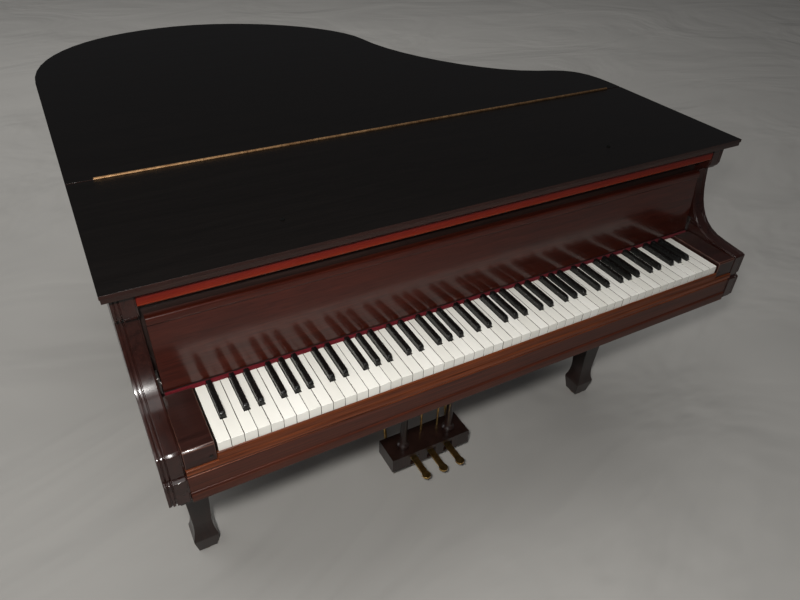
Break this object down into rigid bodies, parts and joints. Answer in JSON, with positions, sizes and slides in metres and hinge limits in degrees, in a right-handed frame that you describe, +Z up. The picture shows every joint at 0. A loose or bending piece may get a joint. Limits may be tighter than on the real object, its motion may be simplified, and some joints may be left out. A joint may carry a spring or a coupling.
{
  "type": "miniature grand piano",
  "caption": "Dolls' house grand piano with opening lid, folding front flap, lid prop, closing fallboard, music desk, full interior and working pedals.",
  "frame": {"origin": "middle of the footprint, on the surface the feet stand on", "axes": "+Z up; the player sits at -Y; +Y towards the tail; the bass end of the keyboard is at -X and the treble end at +X"},
  "size_m": [0.1202, 0.1344, 0.0823],
  "materials": {
    "mahogany": "gloss",
    "dark_wood": "satin",
    "red_wood": "gloss",
    "pale_wood": "satin",
    "ivory": "gloss",
    "ebony": "satin",
    "brass": "polished",
    "gold_iron": "satin",
    "steel": "satin",
    "copper": "satin",
    "red_felt": "matte",
    "white_felt": "matte",
    "rubber": "matte"
  },
  "bodies": {
    "case": {"rim": "mahogany", "bass_arm": "mahogany", "treble_arm": "mahogany", "key_bed": "dark_wood", "key_slip": "mahogany", "key_blocks": "mahogany", "key_block_screws": "steel", "key_frame": "pale_wood", "white_keys": "ivory", "black_keys": "ebony", "name_board": "dark_wood", "name_felt": "red_felt", "pivot_plates": "brass", "front_rail": "red_wood", "belly_rail": "pale_wood", "braces": "pale_wood", "soundboard": "pale_wood", "bridges": "pale_wood", "pin_block": "pale_wood", "plate": "gold_iron", "plate_bolts": "brass", "tuning_pins": "steel", "treble_strings": "steel", "bass_strings": "copper", "dampers": "ebony", "damper_felts": "white_felt", "shelf_rails": "dark_wood", "lid_bumpers": "rubber", "lid_hinge_case_leaves": "brass", "prop_bracket": "brass", "bass_leg": "dark_wood", "treble_leg": "dark_wood", "tail_leg": "dark_wood", "foot_glides": "brass", "lyre": "dark_wood", "lyre_stays": "brass", "pedal_box": "dark_wood", "pedal_axle": "brass"},
    "lid": {"lid_main": "dark_wood", "lid_hinge_lid_leaves": "brass", "lid_hinge_pins": "brass", "flap_hinge_main_leaf": "brass", "flap_hinge_pin": "brass", "prop_block": "mahogany"},
    "flap": {"lid_flap": "dark_wood", "flap_hinge_flap_leaf": "brass", "flap_bumpers": "rubber"},
    "fallboard": {"fallboard": "mahogany", "fallboard_pins": "brass"},
    "shelf": {"music_shelf": "mahogany", "desk_pins": "brass"},
    "desk": {"music_desk": "mahogany"},
    "strut": {"desk_strut": "brass"},
    "prop": {"lid_prop": "mahogany"},
    "left_pedal": {"left_pedal": "brass"},
    "middle_pedal": {"middle_pedal": "brass"},
    "right_pedal": {"right_pedal": "brass"},
    "left_rod": {"left_rod": "brass"},
    "middle_rod": {"middle_rod": "brass"},
    "right_rod": {"right_rod": "brass"}
  },
  "joints": [
    {"name": "lid_open", "type": "hinge", "parent": "case", "child": "lid", "pos_m": [-0.05955, 0, 0.08015], "axis": [0, -1, 0], "range_deg": [0, 32]},
    {"name": "flap_fold", "type": "hinge", "parent": "lid", "child": "flap", "pos_m": [0, -0.02243, 0.082], "axis": [-1, 0, 0], "range_deg": [0, 180]},
    {"name": "fallboard_close", "type": "hinge", "parent": "case", "child": "fallboard", "pos_m": [0, -0.05312, 0.06235], "axis": [1, 0, 0], "range_deg": [0, 94.5]},
    {"name": "shelf_slide", "type": "slide", "parent": "case", "child": "shelf", "axis": [0, 1, 0], "range_m": [0, 0.004]},
    {"name": "desk_tilt", "type": "hinge", "parent": "shelf", "child": "desk", "pos_m": [0, -0.04752, 0.07795], "axis": [1, 0, 0], "range_deg": [0, 72]},
    {"name": "desk_strut_swing", "type": "hinge", "parent": "desk", "child": "strut", "pos_m": [0, -0.04052, 0.07795], "axis": [1, 0, 0], "range_deg": [-132.4, 0]},
    {"name": "prop_swing", "type": "hinge", "parent": "case", "child": "prop", "pos_m": [0.0223, 0.01317, 0.0763], "axis": [0.6859, 0.4454, 0.5755], "range_deg": [0, 56]},
    {"name": "left_pedal_press", "type": "hinge", "parent": "case", "child": "left_pedal", "pos_m": [-0.0046, -0.04183, 0.0093], "axis": [1, 0, 0], "range_deg": [0, 5], "stiffness_Nm_per_rad": 0.01, "springref_deg": -2.86},
    {"name": "left_rod_lift", "type": "slide", "parent": "case", "child": "left_rod", "axis": [0, 0, 1], "range_m": [0, 0.000157]},
    {"name": "middle_pedal_press", "type": "hinge", "parent": "case", "child": "middle_pedal", "pos_m": [0, -0.04183, 0.0093], "axis": [1, 0, 0], "range_deg": [0, 5], "stiffness_Nm_per_rad": 0.01, "springref_deg": -2.86},
    {"name": "middle_rod_lift", "type": "slide", "parent": "case", "child": "middle_rod", "axis": [0, 0, 1], "range_m": [0, 0.000157]},
    {"name": "right_pedal_press", "type": "hinge", "parent": "case", "child": "right_pedal", "pos_m": [0.0046, -0.04183, 0.0093], "axis": [1, 0, 0], "range_deg": [0, 5], "stiffness_Nm_per_rad": 0.01, "springref_deg": -2.86},
    {"name": "right_rod_lift", "type": "slide", "parent": "case", "child": "right_rod", "axis": [0, 0, 1], "range_m": [0, 0.000157]}
  ],
  "couplings": [
    {"joint": "prop_swing", "follows": "lid_open", "ratio": 1.75},
    {"joint": "desk_tilt", "follows": "flap_fold", "ratio": 0.4},
    {"joint": "desk_strut_swing", "follows": "flap_fold", "ratio": -0.73555},
    {"joint": "left_pedal_press", "follows": "left_rod_lift", "rad_per_m": 555.84},
    {"joint": "middle_pedal_press", "follows": "middle_rod_lift", "rad_per_m": 555.84},
    {"joint": "right_pedal_press", "follows": "right_rod_lift", "rad_per_m": 555.84}
  ]
}
